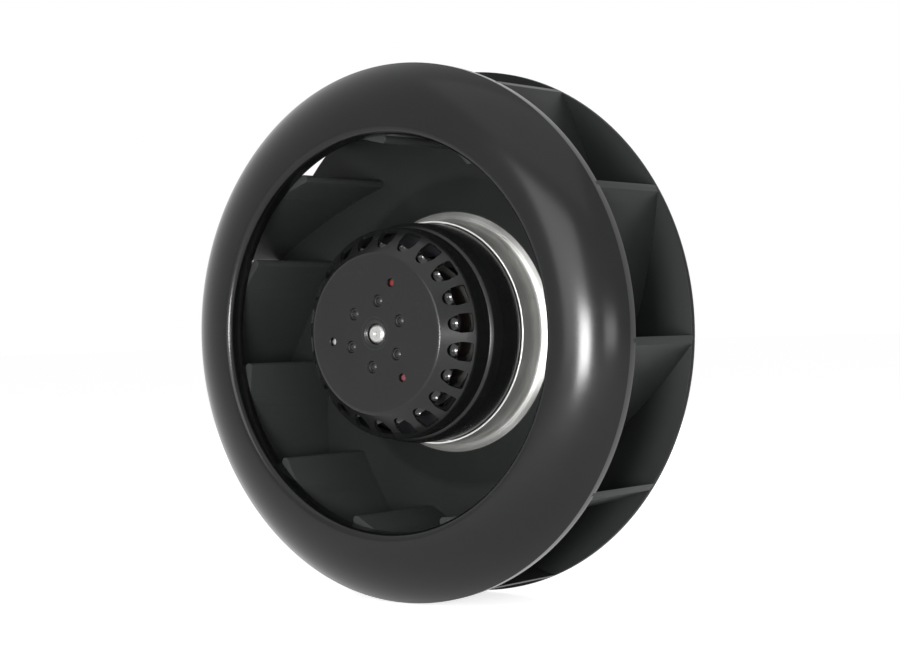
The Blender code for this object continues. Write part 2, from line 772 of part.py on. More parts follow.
# Stator laminations: one closed sheet of teeth, extruded to the stack's length
def stator_mesh():
    bm = bmesh.new()
    pitch = 360 / TEETH
    tip_r = STATOR_R - TOOTH_TIP
    mouth = math.degrees(SLOT_MOUTH / 2 / STATOR_R)
    tip_half = math.degrees(math.asin(TOOTH_WIDTH / 2 / tip_r))
    root_half = math.degrees(math.asin(TOOTH_WIDTH / 2 / SLOT_BOTTOM_R))

    def spot(radius, degrees):
        return bm.verts.new(place(radius, degrees, STACK_BACK))

    sheet = []
    for k in range(TEETH):
        middle = pitch * k
        ends = [
            spot(stator_bore_r, middle - pitch / 2),
            spot(stator_bore_r, middle),
            spot(stator_bore_r, middle + pitch / 2),
            spot(SLOT_BOTTOM_R, middle + pitch / 2),
            spot(SLOT_BOTTOM_R, middle + root_half),
            spot(tip_r, middle + tip_half),
            spot(STATOR_R, middle + pitch / 2 - mouth),
            spot(STATOR_R, middle),
            spot(STATOR_R, middle - pitch / 2 + mouth),
            spot(tip_r, middle - tip_half),
            spot(SLOT_BOTTOM_R, middle - root_half),
            spot(SLOT_BOTTOM_R, middle - pitch / 2),
        ]
        sheet.append(bm.faces.new(ends))
    bmesh.ops.remove_doubles(bm, verts=bm.verts, dist=1e-6)
    raised = bmesh.ops.extrude_face_region(bm, geom=bm.faces[:], use_keep_orig=True)
    moved = [item for item in raised["geom"] if isinstance(item, bmesh.types.BMVert)]
    bmesh.ops.translate(bm, verts=moved, vec=(0, -STACK_LENGTH, 0))
    return mesh_from(bm, "stator_core")


add("stator_core", stator_mesh(), lamination, stator)


# Rotor laminations with the end rings of the cast cage
def rotor_core_outline():
    outer_r = bell_bore_r - SEAT
    ring_low_r = rotor_core_bore_r + END_RING_INSET
    ring_high_r = outer_r - END_RING_INSET
    return [
        (rotor_core_bore_r, STACK_BACK),
        (ring_low_r, STACK_BACK),
        (ring_low_r, STACK_BACK - END_RING_HEIGHT),
        (ring_high_r, STACK_BACK - END_RING_HEIGHT),
        (ring_high_r, STACK_BACK),
        (outer_r, STACK_BACK),
        (outer_r, stack_front),
        (ring_high_r, stack_front),
        (ring_high_r, stack_front + END_RING_HEIGHT),
        (ring_low_r, stack_front + END_RING_HEIGHT),
        (ring_low_r, stack_front),
        (rotor_core_bore_r, stack_front),
    ]


add("rotor_core", turned_mesh("rotor_core", rotor_core_outline(), MOTOR_SEGMENTS), lamination, impeller)


# Winding insulation: an end disc with a collar that keeps the coils off the tube
def insulator_outline(face, way, collar_r, length):
    """face is the side against the laminations, and way is +1 for the front end, -1 for the rear."""
    outside = face + way * INSULATOR_THICK
    end = outside + way * length
    return [
        (stator_bore_r, face),
        (INSULATOR_R, face),
        (INSULATOR_R, outside),
        (collar_r + INSULATOR_THICK, outside),
        (collar_r + INSULATOR_THICK, end),
        (collar_r, end),
        (collar_r, outside),
        (stator_bore_r, outside),
    ]


def winding_outline(low, high):
    low_r = FOOT_R + 2 * SEAT + INSULATOR_THICK
    cut = WINDING_ROUND
    return [
        (low_r + cut, low), (WINDING_R - cut, low), (WINDING_R, low + cut), (WINDING_R, high - cut),
        (WINDING_R - cut, high), (low_r + cut, high), (low_r, high - cut), (low_r, low + cut),
    ]


collar_r = FOOT_R + SEAT
front_face = stack_front + SEAT
rear_face = STACK_BACK - SEAT
front_insulator = insulator_outline(front_face, 1, collar_r, INSULATOR_COLLAR)
rear_insulator = insulator_outline(rear_face, -1, collar_r, INSULATOR_COLLAR)
front_coils = winding_outline(front_face + INSULATOR_THICK + SEAT, WINDING_FRONT)
rear_coils = winding_outline(WINDING_REAR, rear_face - INSULATOR_THICK - SEAT)
for name, outline, look in (
    ("front_insulator", front_insulator, insulation),
    ("rear_insulator", rear_insulator, insulation),
    ("front_winding", front_coils, copper),
    ("rear_winding", rear_coils, copper),
):
    add(name, turned_mesh(name, outline, MOTOR_SEGMENTS), look, stator)


# Thermal cut-out tied on the front coils
def cutout_mesh():
    bm = bmesh.new()
    bmesh.ops.create_cube(bm, size=1, matrix=Matrix.Diagonal((*CUTOUT_SIZE, 1)))
    middle_r = (FOOT_R + WINDING_R) / 2
    depth = WINDING_FRONT + SEAT + CUTOUT_SIZE[1] / 2
    bmesh.ops.translate(bm, verts=bm.verts, vec=place(middle_r, CUTOUT_ANGLE, depth))
    return mesh_from(bm, "thermal_cutout")


add("thermal_cutout", cutout_mesh(), insulation, stator)
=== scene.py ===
from math import acos, atan2, cos, degrees, radians, sin, sqrt

import bpy
from mathutils import Matrix, Vector


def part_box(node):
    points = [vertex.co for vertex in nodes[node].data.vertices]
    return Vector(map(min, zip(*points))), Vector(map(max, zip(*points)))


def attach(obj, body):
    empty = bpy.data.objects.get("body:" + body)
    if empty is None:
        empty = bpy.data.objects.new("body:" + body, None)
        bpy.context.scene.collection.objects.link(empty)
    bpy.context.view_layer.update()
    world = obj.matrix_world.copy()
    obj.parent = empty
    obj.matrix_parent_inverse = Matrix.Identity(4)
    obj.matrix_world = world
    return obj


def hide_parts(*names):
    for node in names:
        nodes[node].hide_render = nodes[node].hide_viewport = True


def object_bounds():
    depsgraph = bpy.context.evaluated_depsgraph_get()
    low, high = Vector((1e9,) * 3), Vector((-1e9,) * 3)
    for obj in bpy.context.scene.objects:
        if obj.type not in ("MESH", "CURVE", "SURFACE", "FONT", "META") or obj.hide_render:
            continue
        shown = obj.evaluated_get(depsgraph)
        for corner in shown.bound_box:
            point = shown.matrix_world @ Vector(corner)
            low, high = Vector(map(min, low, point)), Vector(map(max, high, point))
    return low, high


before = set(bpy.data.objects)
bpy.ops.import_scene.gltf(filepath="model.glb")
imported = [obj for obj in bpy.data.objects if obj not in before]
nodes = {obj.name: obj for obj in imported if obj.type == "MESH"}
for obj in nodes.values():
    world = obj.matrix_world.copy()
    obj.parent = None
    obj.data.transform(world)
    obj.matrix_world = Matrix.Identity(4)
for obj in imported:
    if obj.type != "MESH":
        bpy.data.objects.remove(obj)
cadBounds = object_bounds()
mm = 0.001
mergeGap = 0.01 * mm

# The fan's axis is Y, and the inlet looks along -Y. "Depth" is the distance forward of the
# mounting face, and an outline is a list of (radius, depth) that is turned about the axis. A value
# named ...Round lists the points that round a corner, in millimetres out from it and forward of it.
wheel = {"radius": 112.45 * mm, "plateBack": 6.5 * mm, "plateFront": 9.0 * mm, "steps": 220}


# Small tools
def deselect():
    if bpy.context.object and bpy.context.object.mode != "OBJECT":
        bpy.ops.object.mode_set(mode="OBJECT")
    bpy.ops.object.select_all(action="DESELECT")


def only(piece):
    deselect()
    piece.select_set(True)
    bpy.context.view_layer.objects.active = piece


def onCircle(centre, radius, angle):
    angle = radians(angle)
    return (centre[0] + radius * cos(angle), centre[1] + radius * sin(angle))


def arc(centre, radius, start, end, steps):
    return [onCircle(centre, radius, start + (end - start) * i / steps) for i in range(steps + 1)]


def pointsBy(spot, offsets):
    # offsets: millimetres out from the spot and forward of it
    return [(spot[0] + out * mm, spot[1] + forward * mm) for out, forward in offsets]


def evenly(start, count):
    # angles round the axis
    return [start + 360 / count * k for k in range(count)]


def freeze(piece):
    only(piece)
    bpy.ops.object.transform_apply(location=True, rotation=True, scale=True)


def modify(piece, kind, **values):
    only(piece)
    step = piece.modifiers.new("step", kind)
    for label, value in values.items():
        setattr(step, label, value)
    bpy.ops.object.modifier_apply(modifier=step.name)


def tidyNormals(piece):
    only(piece)
    bpy.ops.object.mode_set(mode="EDIT")
    bpy.ops.mesh.select_all(action="SELECT")
    bpy.ops.mesh.remove_doubles(threshold=mergeGap)
    bpy.ops.mesh.normals_make_consistent(inside=False)
    bpy.ops.object.mode_set(mode="OBJECT")


def smooth(piece, angle=32):
    only(piece)
    bpy.ops.object.shade_smooth_by_angle(angle=radians(angle))


def keepFlat(piece):
    # the shading of wide faces isn't pulled round by the narrow ones beside them
    modify(piece, "WEIGHTED_NORMAL", keep_sharp=True)


def bevel(piece, width, angle=50, segments=2):
    modify(piece, "BEVEL", width=width, segments=segments, limit_method="ANGLE",
           angle_limit=radians(angle))


def cut(piece, cutter, operation="DIFFERENCE"):
    modify(piece, "BOOLEAN", operation=operation, solver="EXACT", object=cutter)
    bpy.data.objects.remove(cutter)


def turn(name, outline, steps=wheel["steps"], closed=True):
    # a ring is added at the outline's first point, then extruded and resized from point to point
    deselect()
    radius, depth = outline[0]
    bpy.ops.mesh.primitive_circle_add(
        vertices=steps, radius=radius, location=(0, -depth, 0), rotation=(radians(90), 0, 0),
        fill_type="NOTHING" if closed else "NGON")
    piece = bpy.context.object
    piece.name = name
    freeze(piece)
    bpy.ops.object.mode_set(mode="EDIT")
    bpy.ops.mesh.select_mode(type="EDGE")
    bpy.ops.mesh.select_all(action="SELECT")
    for nextRadius, nextDepth in outline[1:]:
        shift = (0, depth - nextDepth, 0)
        bpy.ops.mesh.extrude_edges_move(TRANSFORM_OT_translate={"value": shift})
        grow = nextRadius / radius
        bpy.ops.transform.resize(value=(grow, 1, grow))
        radius, depth = nextRadius, nextDepth
    if closed:
        bpy.ops.mesh.select_all(action="DESELECT")
        bpy.ops.mesh.select_non_manifold()
        bpy.ops.mesh.bridge_edge_loops()
    else:
        bpy.ops.mesh.edge_face_add()
    tidyNormals(piece)
    return piece


def extruded(name, outline, way):
    # outline: points in space, joined into one face and pulled along "way"
    deselect()
    bpy.ops.mesh.primitive_circle_add(vertices=len(outline), radius=mm, fill_type="NGON")
    piece = bpy.context.object
    piece.name = name
    for corner, spot in zip(piece.data.vertices, outline):
        corner.co = spot
    bpy.ops.object.mode_set(mode="EDIT")
    bpy.ops.mesh.select_all(action="SELECT")
    bpy.ops.mesh.extrude_region_move(TRANSFORM_OT_translate={"value": way})
    tidyNormals(piece)
    return piece


def rod(name, radius, low, high, out, around, steps=32):
    deselect()
    x, z = onCircle((0, 0), out, around)
    bpy.ops.mesh.primitive_cylinder_add(
        vertices=steps, radius=radius, depth=high - low, location=(x, -(low + high) / 2, z),
        rotation=(radians(90), 0, 0))
    piece = bpy.context.object
    piece.name = name
    freeze(piece)
    return piece


def copyOf(piece, name, around):
    made = piece.copy()
    made.data = piece.data.copy()
    made.name = name
    bpy.context.scene.collection.objects.link(made)
    made.rotation_euler = (0, -radians(around), 0)
    freeze(made)
    return made


def joined(pieces, name):
    deselect()
    for piece in pieces:
        piece.select_set(True)
    bpy.context.view_layer.objects.active = pieces[0]
    bpy.ops.object.join()
    whole = bpy.context.object
    whole.name = name
    return whole


def dress(piece, material):
    piece.data.materials.clear()
    piece.data.materials.append(material)


def settle(piece, body, material, slot, *replaced):
    dress(piece, material)
    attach(piece, body)
    if replaced:
        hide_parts(*replaced)


# Node tools
def feed(tree, node, values):
    # a value that comes from another node is linked, and any other is set
    for label, value in values.items():
        if isinstance(value, bpy.types.NodeSocket):
            tree.links.new(value, node.inputs[label])
        else:
            node.inputs[label].default_value = value
    return node


def mathNode(tree, operation, a, b=0.5, clamp=False):
    node = tree.nodes.new("ShaderNodeMath")
    node.operation = operation
    node.use_clamp = clamp
    return feed(tree, node, {0: a, 1: b}).outputs[0]


def noiseNode(tree, values):
    return feed(tree, tree.nodes.new("ShaderNodeTexNoise"), values).outputs["Fac"]


def mapped(tree, source, low, high, newLow, newHigh):
    node = tree.nodes.new("ShaderNodeMapRange")
    feed(tree, node, {"Value": source, "From Min": low, "From Max": high, "To Min": newLow,
                      "To Max": newHigh})
    return node.outputs["Result"]


def blendColour(tree, factor, first, second):
    node = tree.nodes.new("ShaderNodeMix")
    node.data_type = "RGBA"
    return feed(tree, node, {"Factor": factor, "A": first, "B": second}).outputs["Result"]


# Shader groups that several finishes share
groupLook = {"skinDetail": 3.0, "skinRoughness": 0.55, "speckDetail": 4.0, "speckLevel": 0.66,
             "speckGain": 5.0, "patchScale": 60.0, "patchLevel": 0.35, "lineDetail": 4.0}


def newGroup(name, inputs, outputs):
    group = bpy.data.node_groups.new(name, "ShaderNodeTree")
    for label, value in inputs.items():
        socket = group.interface.new_socket(
            name=label, in_out="INPUT", socket_type="NodeSocketFloat")
        socket.default_value = value
    for label in outputs:
        group.interface.new_socket(name=label, in_out="OUTPUT", socket_type="NodeSocketFloat")
    start = group.nodes.new("NodeGroupInput").outputs
    end = group.nodes.new("NodeGroupOutput")
    place = group.nodes.new("ShaderNodeTexCoord").outputs["Object"]
    return group, start, end, place


def mouldedGroup():
    # skin: fine pebble of a moulded or painted surface; cloud: slow unevenness of gloss
    group, start, end, place = newGroup(
        "mouldedSkin", {"Grain": 1400.0, "Cloud": 28.0}, ["Skin", "Cloud"])
    for label, result in (("Grain", "Skin"), ("Cloud", "Cloud")):
        noise = noiseNode(group, {"Vector": place, "Scale": start[label],
                                  "Detail": groupLook["skinDetail"],
                                  "Roughness": groupLook["skinRoughness"]})
        feed(group, end, {result: noise})
    return group


def dustGroup():
    # dust: specks, and a thin film that lies in slow patches
    group, start, end, place = newGroup("dust", {"Specks": 420.0, "Film": 0.3}, ["Dust"])
    speck = noiseNode(group, {"Vector": place, "Scale": start["Specks"],
                              "Detail": groupLook["speckDetail"]})
    speck = mathNode(group, "SUBTRACT", speck, groupLook["speckLevel"], clamp=True)
    speck = mathNode(group, "MULTIPLY", speck, groupLook["speckGain"], clamp=True)
    film = noiseNode(group, {"Vector": place, "Scale": groupLook["patchScale"]})
    film = mathNode(group, "SUBTRACT", film, groupLook["patchLevel"], clamp=True)
    film = mathNode(group, "MULTIPLY", film, start["Film"], clamp=True)
    feed(group, end, {"Dust": mathNode(group, "MAXIMUM", speck, film)})
    return group


def lineGroup():
    # lines: rings round the axis, as turning, rolling or stacked sheets leave
    group, start, end, place = newGroup(
        "turnedLines", {"Along": 0.0, "Round": 1.0, "Fine": 900.0}, ["Lines"])
    split = feed(group, group.nodes.new("ShaderNodeSeparateXYZ"), {0: place}).outputs
    squares = [mathNode(group, "POWER", split[side], 2.0) for side in ("X", "Z")]
    radius = mathNode(group, "SQRT", mathNode(group, "ADD", *squares))
    across = mathNode(group, "MULTIPLY", radius, start["Round"])
    along = mathNode(group, "MULTIPLY", split["Y"], start["Along"])
    both = mathNode(group, "MULTIPLY", mathNode(group, "ADD", across, along), start["Fine"])
    noise = group.nodes.new("ShaderNodeTexNoise")
    noise.noise_dimensions = "1D"
    feed(group, noise, {"W": both, "Scale": 1.0, "Detail": groupLook["lineDetail"]})
    feed(group, end, {"Lines": noise.outputs["Fac"]})
    return group


mouldedSkin = mouldedGroup()
dust = dustGroup()
turnedLines = lineGroup()
print("shader groups ready")

# What the finishes have in common. A spread is the share by which the roughness wanders.
finish = {"lighter": 1.25, "cloudLow": 0.3, "cloudHigh": 0.7, "bumpHeight": 0.2 * mm,
          "dustColour": (0.20, 0.20, 0.19, 1.0), "dustCover": 0.03, "dustMatt": 0.08,
          "plasticSpread": 0.08, "metalSpread": 0.2, "metalGrain": 600.0, "metalCloud": 45.0}


def startMaterial(name):
    material = bpy.data.materials.new(name)
    material.use_nodes = True
    tree = material.node_tree
    return material, tree, tree.nodes["Principled BSDF"]


def groupNode(tree, group, **values):
    node = tree.nodes.new("ShaderNodeGroup")
    node.node_tree = group
    return feed(tree, node, values).outputs


def shaded(colour, share):
    return (*(c * share for c in colour), 1.0)


def wandering(tree, cloud, roughness, spread):
    return mapped(tree, cloud, finish["cloudLow"], finish["cloudHigh"],
                  roughness * (1 - spread), roughness * (1 + spread))


def bumps(tree, height, strength):
    node = tree.nodes.new("ShaderNodeBump")
    feed(tree, node, {"Strength": strength, "Distance": finish["bumpHeight"], "Height": height})
    return node.outputs["Normal"]


def plastic(name, colour, roughness, grain=1400.0, depth=0.02, film=0.25, gloss=0.5):
    material, tree, shader = startMaterial(name)
    skin = groupNode(tree, mouldedSkin, Grain=grain)
    dirt = groupNode(tree, dust, Film=film)["Dust"]
    tone = blendColour(tree, skin["Cloud"], shaded(colour, 1), shaded(colour, finish["lighter"]))
    cover = mathNode(tree, "MULTIPLY", dirt, finish["dustCover"])
    matt = wandering(tree, skin["Cloud"], roughness, finish["plasticSpread"])
    dustMatt = mathNode(tree, "MULTIPLY", dirt, finish["dustMatt"])
    feed(tree, shader, {
        "Base Color": blendColour(tree, cover, tone, finish["dustColour"]),
        "Roughness": mathNode(tree, "ADD", matt, dustMatt),
        "Specular IOR Level": gloss,
        "Normal": bumps(tree, skin["Skin"], depth),
    })
    return material


def metal(name, colour, roughness, along, around, fine, depth=0.05, shift=0.12, bare=1.0):
    # along, around and fine: how the lines run and how close they lie; shift: how dark they are
    material, tree, shader = startMaterial(name)
    lines = groupNode(tree, turnedLines, Along=along, Round=around, Fine=fine)["Lines"]
    skin = groupNode(tree, mouldedSkin, Grain=finish["metalGrain"], Cloud=finish["metalCloud"])
    feed(tree, shader, {
        "Base Color": blendColour(tree, lines, shaded(colour, 1 - 2 * shift), shaded(colour, 1)),
        "Roughness": wandering(tree, skin["Cloud"], roughness, finish["metalSpread"]),
        "Metallic": bare,
        "Normal": bumps(tree, lines, depth),
    })
    return material


# The shroud, blades and back disc are one plastic. The blades and disc carry a lighter colour than
# the shroud as painted light, lifting the shaded inside of the wheel.
shroudPlastic = plastic("glossyBlackPlastic", (0.0024, 0.0026, 0.0026), 0.20, gloss=0.31)
vanePlasticPaintedFillLight = plastic("satinBlackPlasticPaintedFillLight", (0.025, 0.0268, 0.0265), 0.40, gloss=0.08)
discPlasticPaintedFillLight = plastic("dullBlackPlasticPaintedFillLight", (0.0145, 0.0156, 0.0154), 0.40, gloss=0.08)
bellPaint = plastic("satinBlackPaint", (0.0060, 0.0063, 0.0062), 0.25, grain=2200.0, depth=0.04,
                    film=0.2, gloss=0.3)
# The scoops wear the bell's own paint at half its colour: painted shade, so they read dark inside
# the vents.
scoopPaintPaintedShade = plastic("glossyBlackPaintPaintedShade", (0.0030, 0.0032, 0.0032), 0.15, grain=1800.0,
                     depth=0.04)
rubberBlack = plastic("softBlackRubber", (0.018, 0.018, 0.018), 0.7, grain=900.0, depth=0.15,
                      film=0.5)
# The insulation's near-black colour is painted shade for the dark inside of the bell.
insulationInPaintedShade = plastic("insulationPaintedShade", (0.05, 0.049, 0.045), 0.55, grain=900.0, depth=0.05)
plugRed = plastic("redFiller", (0.095, 0.010, 0.009), 0.35, grain=700.0, depth=0.2)
plugPink = plastic("dustyRedFiller", (0.10, 0.024, 0.030), 0.5, grain=700.0, depth=0.25)
zincSheet = metal("brightZincSheet", (0.88, 0.88, 0.85), 0.45, along=0.7, around=1.0,
                  fine=1500.0, depth=0.35, shift=0.08, bare=0.90)
shaftSteel = metal("groundSteel", (0.50, 0.50, 0.49), 0.38, along=0.5, around=1.0, fine=2400.0,
                   shift=0.08)
darkSpring = metal("oiledSpringSteel", (0.16, 0.15, 0.14), 0.35, along=1.0, around=0.3,
                   fine=900.0)
castMetal = metal("castAluminium", (0.42, 0.43, 0.44), 0.42, along=0.0, around=1.0, fine=700.0,
                  depth=0.12, shift=0.06)
# The stacked sheets' near-black colour is painted shade for the dark inside of the bell.
laminationsInPaintedShade = metal("stackedLaminationsPaintedShade", (0.05, 0.052, 0.057), 0.5, along=1.0, around=0.0,
                   fine=2400.0, depth=0.3, shift=0.25)
# The winding wire's near-black colour, in place of copper, is painted shade for the dark inside of
# the bell.
wireInPaintedShade = metal("windingWireInPaintedShade", (0.016, 0.010, 0.008), 0.40, along=1.0, around=1.0, fine=1100.0,
             depth=0.6, shift=0.25, bare=0.3)
brassCage = metal("pressedBrass", (0.62, 0.46, 0.20), 0.35, along=0.4, around=1.0, fine=1200.0)
print("materials ready")

# Inlet shroud: one dome that rolls over a lip into the throat
shroud = {"throat": 82.4 * mm, "throatEnd": 61.9 * mm, "wall": 2.1 * mm, "lip": 3.1 * mm,
          "dome": 32.595 * mm, "crest": 70.4 * mm, "softEdge": 0.35 * mm, "domeSteps": 22,
          "lipSteps": 10, "lipInsideSteps": 4, "domeInsideSteps": 14}
domeCentre = (shroud["throat"] + shroud["lip"], shroud["crest"] - shroud["dome"])
domeInside = shroud["dome"] - shroud["wall"]


def domeAngle(reach, across):
    # where a circle about the dome's centre is "across" from the axis
    return degrees(acos((across - domeCentre[0]) / reach))


def makeShroud():
    throat, end, wall, lip = (shroud[key] for key in ("throat", "throatEnd", "wall", "lip"))
    rim = wheel["radius"]
    lipCentre = (domeCentre[0], shroud["crest"] - lip)
    outline = arc(domeCentre, shroud["dome"], domeAngle(shroud["dome"], rim), 90,
                  shroud["domeSteps"])
    outline += arc(lipCentre, lip, 90, 180, shroud["lipSteps"])[1:]
    outline += [(throat, end), (throat + wall, end)]
    outline += arc(lipCentre, lip - wall, 180, 90, shroud["lipInsideSteps"])
    outline += arc(domeCentre, domeInside, 90, domeAngle(domeInside, rim),
                   shroud["domeInsideSteps"])[1:]
    piece = turn("shroudShell", outline)
    bevel(piece, shroud["softEdge"], segments=3)
    smooth(piece)
    settle(piece, "impeller", shroudPlastic, "wheel_plastic", "inlet_shroud")


makeShroud()
print("shroud made")

# Hub collar: bright sheet ring whose flare curls over to a lip. Its skirt, turned down at an
# angle, is moulded into the back disc.
collar = {"bore": 46.6 * mm, "sheet": 0.8 * mm, "front": 33.7 * mm, "flareStart": 24.5 * mm,
          "flare": 13.0 * mm, "flareTurn": 5, "curl": 3.0 * mm, "curlTurn": 60, "lip": 2.9 * mm,
          "skirt": 5.0 * mm, "skirtTurn": 36.9, "skirtGap": 0.5 * mm, "softEdge": 0.11 * mm,
          "arcSteps": 8, "steps": 180}
skirtSin = sin(radians(collar["skirtTurn"]))
skirtCos = cos(radians(collar["skirtTurn"]))
flareAngle = 180 + collar["flareTurn"]
curlAngle = 180 + collar["curlTurn"]
flareCentre = (collar["bore"] + collar["sheet"] + collar["flare"], collar["flareStart"])
curlCentre = onCircle(flareCentre, collar["flare"] - collar["curl"], flareAngle)
curlEnd = onCircle(curlCentre, collar["curl"], curlAngle)
lipEnd = (curlEnd[0] + collar["lip"] * sin(radians(collar["curlTurn"])),
          curlEnd[1] - collar["lip"] * cos(radians(collar["curlTurn"])))


def skirtPoint(along, out):
    return (lipEnd[0] + along * skirtSin + out * skirtCos,
            lipEnd[1] - along * skirtCos + out * skirtSin)


def collarSide(out):
    steps = collar["arcSteps"]
    return (arc(flareCentre, collar["flare"] + out, 180, flareAngle, steps)
            + arc(curlCentre, collar["curl"] + out, flareAngle, curlAngle, steps)[1:])


def makeCollar():
    bore, sheet, front = collar["bore"], collar["sheet"], collar["front"]
    outline = [(bore, front), (bore + sheet, front)] + collarSide(0) + [lipEnd]
    outline += [skirtPoint(collar["skirt"], 0), skirtPoint(collar["skirt"], -sheet)]
    outline += [skirtPoint(collar["skirtGap"], -sheet)] + collarSide(sheet)[::-1]
    piece = turn("hubCollar", outline, collar["steps"])
    bevel(piece, collar["softEdge"])
    smooth(piece)
    settle(piece, "impeller", zincSheet, "zinc_sheet", "hub_ring")


# Back disc: flat to the crease, then a cone whose tip holds the collar's skirt
disc = {"crease": 66.7 * mm, "creaseRound": ((3, 0), (0.9, 0.25), (-0.9, 1.0)),
        "tipWidth": 0.6 * mm, "lip": 1.5 * mm, "seam": 0.05 * mm, "softEdge": 0.3 * mm}


def makeBackDisc():
    back, front, rim = wheel["plateBack"], wheel["plateFront"], wheel["radius"]
    seam, lip, skirtEnd = disc["seam"], disc["lip"], collar["skirt"] + disc["seam"]
    floor = -collar["sheet"] - seam
    mouth = skirtPoint(seam * skirtSin / skirtCos, seam)
    tip = (mouth[0] + disc["tipWidth"], mouth[1])
    inner = skirtPoint(collar["skirt"] + lip, floor - lip)
    slope = (disc["crease"] - tip[0]) / (tip[1] - front)
    outline = [(rim, back), (rim, front)]
    outline += pointsBy((disc["crease"], front), disc["creaseRound"])
    outline += [
        tip, mouth, skirtPoint(skirtEnd, seam), skirtPoint(skirtEnd, floor),
        skirtPoint(lip, floor), skirtPoint(lip, floor - lip), inner,
        (inner[0] + (inner[1] - back) * slope, back),
    ]
    piece = turn("backDisc", outline)
    bevel(piece, disc["softEdge"])
    smooth(piece, angle=25)
    settle(piece, "impeller", discPlasticPaintedFillLight, "wheel_plastic", "back_plate")


makeCollar()
makeBackDisc()
print("hub made")

# Blades: a cambered section pulled forward, then trimmed to the shroud's underside
blade = {"count": 11, "start": -2.8, "wrap": 36.9, "nose": 80.95 * mm, "noseThick": 3.6 * mm,
         "tailThick": 2.0 * mm, "camber": 2.2 * mm, "overrun": 1.03, "steps": 30,
         "noseSteps": 12, "root": 1.0 * mm, "length": 64 * mm, "softEdge": 0.7 * mm}
trim = {"inside": 60 * mm, "top": 61.6 * mm, "bite": 0.9 * mm, "shoulder": 1.2 * mm, "steps": 14}


def sectionSide(share, side):
    # a point beside the camber line at this share of the chord, and the line's direction there
    nose = Vector(onCircle((0, 0), 1, -blade["wrap"])) * blade["nose"]
    chord = Vector((wheel["radius"], 0)) - nose
    out = Vector((chord.y, -chord.x)).normalized()
    spot = nose + chord * share + out * (4 * blade["camber"] * share * (1 - share))
    along = (chord + out * (4 * blade["camber"] * (1 - 2 * share))).normalized()
    thick = blade["noseThick"] + (blade["tailThick"] - blade["noseThick"]) * share
    return spot + Vector((along.y, -along.x)) * (side * thick / 2), along


def bladeSection():
    shares = [i / blade["steps"] * blade["overrun"] for i in range(blade["steps"] + 1)]
    inner = [sectionSide(share, -1)[0] for share in shares]
    outer = [sectionSide(share, 1)[0] for share in shares]
    nose, along = sectionSide(0, 0)
    across = Vector((along.y, -along.x))
    tip = []
    for i in range(1, blade["noseSteps"]):
        swing = radians(180 * i / blade["noseSteps"] - 90)
        tip.append(nose + (across * sin(swing) - along * cos(swing)) * (blade["noseThick"] / 2))
    return inner[::-1] + tip + outer


def trimmer():
    # what the blade may fill: inside the rim, under the throat's end and under the dome
    step = shroud["throat"] + shroud["wall"] - trim["bite"]
    reach = domeInside + trim["bite"]
    foot = wheel["plateFront"] - trim["bite"]
    outline = [(trim["inside"], foot), (trim["inside"], trim["top"]), (step, trim["top"])]
    outline += arc(domeCentre, reach, domeAngle(reach, step + trim["shoulder"]),
                   domeAngle(reach, wheel["radius"]), trim["steps"])
    outline += [(wheel["radius"], foot)]
    return turn("trimmer", outline)


def makeBlades():
    root = blade["root"] - wheel["plateFront"]
    section = [Vector((p.x, root, p.y)) for p in bladeSection()]
    first = extruded("bladePattern", section, (0, -blade["length"], 0))
    cut(first, trimmer(), "INTERSECT")
    tidyNormals(first)
    bevel(first, blade["softEdge"], segments=4)
    smooth(first, angle=30)
    for k, angle in enumerate(evenly(blade["start"], blade["count"]), 1):
        piece = copyOf(first, "bladePlate%02d" % k, angle)
        settle(piece, "impeller", vanePlasticPaintedFillLight, "wheel_plastic", "blade_%02d" % k)
    bpy.data.objects.remove(first)


makeBlades()
print("blades made")

# Rotor bell. Its slanted band has a slight crease, and every vent in the band holds a scoop that
# is pressed in from the vent's round end. The face's groove and the band's start are in
# millimetres, as the rounds are.
bell = {"radius": 46.3 * mm, "wall": 1.8 * mm, "rear": 7.5 * mm, "neck": 43.9 * mm,
        "shoulderBack": 47.0 * mm, "shoulderFront": 52.5 * mm, "shoulderEdge": 51.5 * mm,
        "neckFront": 61.0 * mm, "faceRadius": 33.0 * mm, "face": 72.3 * mm, "crease": 0.72,
        "proud": 0.2 * mm, "bore": 4.3 * mm, "boss": 6.1 * mm, "bossBack": 57.3 * mm,
        "bossFoot": 8.0 * mm, "bossFront": 62.0 * mm, "softEdge": 0.16 * mm, "steps": 176,
        "mouthRound": ((0, -0.8), (0.3, -0.74), (0.7, -0.4), (1.0, -0.1), (1.3, 0)),
        "faceGroove": ((6.6, 0), (6.8, -0.08), (7.0, 0), (7.25, 0)),
        "faceRound": ((-1.1, 0), (-0.8, 0), (-0.3, -0.09)), "bandStart": (0.25, -0.06),
        "bandFrom": 0.8 * mm, "creaseHalf": 0.5 * mm, "creaseNear": 0.12 * mm,
        "neckRound": ((-0.1, -0.02), (0, -0.6)), "ledgeRound": ((0, 0.4), (0.15, 0)),
        "middleRound": ((-0.15, 0.45), (0.25, 0), (0.45, -0.5)),
        "sideRound": ((-0.05, 0.15), (0, -0.3)), "insideCorner": 0.5 * mm}
vent = {"count": 22, "start": 4.9, "middle": 39.2 * mm, "width": 7.8 * mm, "length": 10.6 * mm,
        "nose": 2.7 * mm, "noseAngle": 118, "flank": 4.8 * mm, "ease": (0.9 * mm, 0.12 * mm),
        "corner": 1.1 * mm, "cutDepth": 10 * mm, "noseSteps": 10, "cornerSteps": 4}
scoop = {"length": 4.8 * mm, "deepest": 2.9 * mm, "reach": 3.4 * mm, "half": 3.8 * mm,
         "deep": 2.7 * mm, "sheet": 0.5 * mm, "softEdge": 0.2 * mm, "segments": 32, "rings": 20}
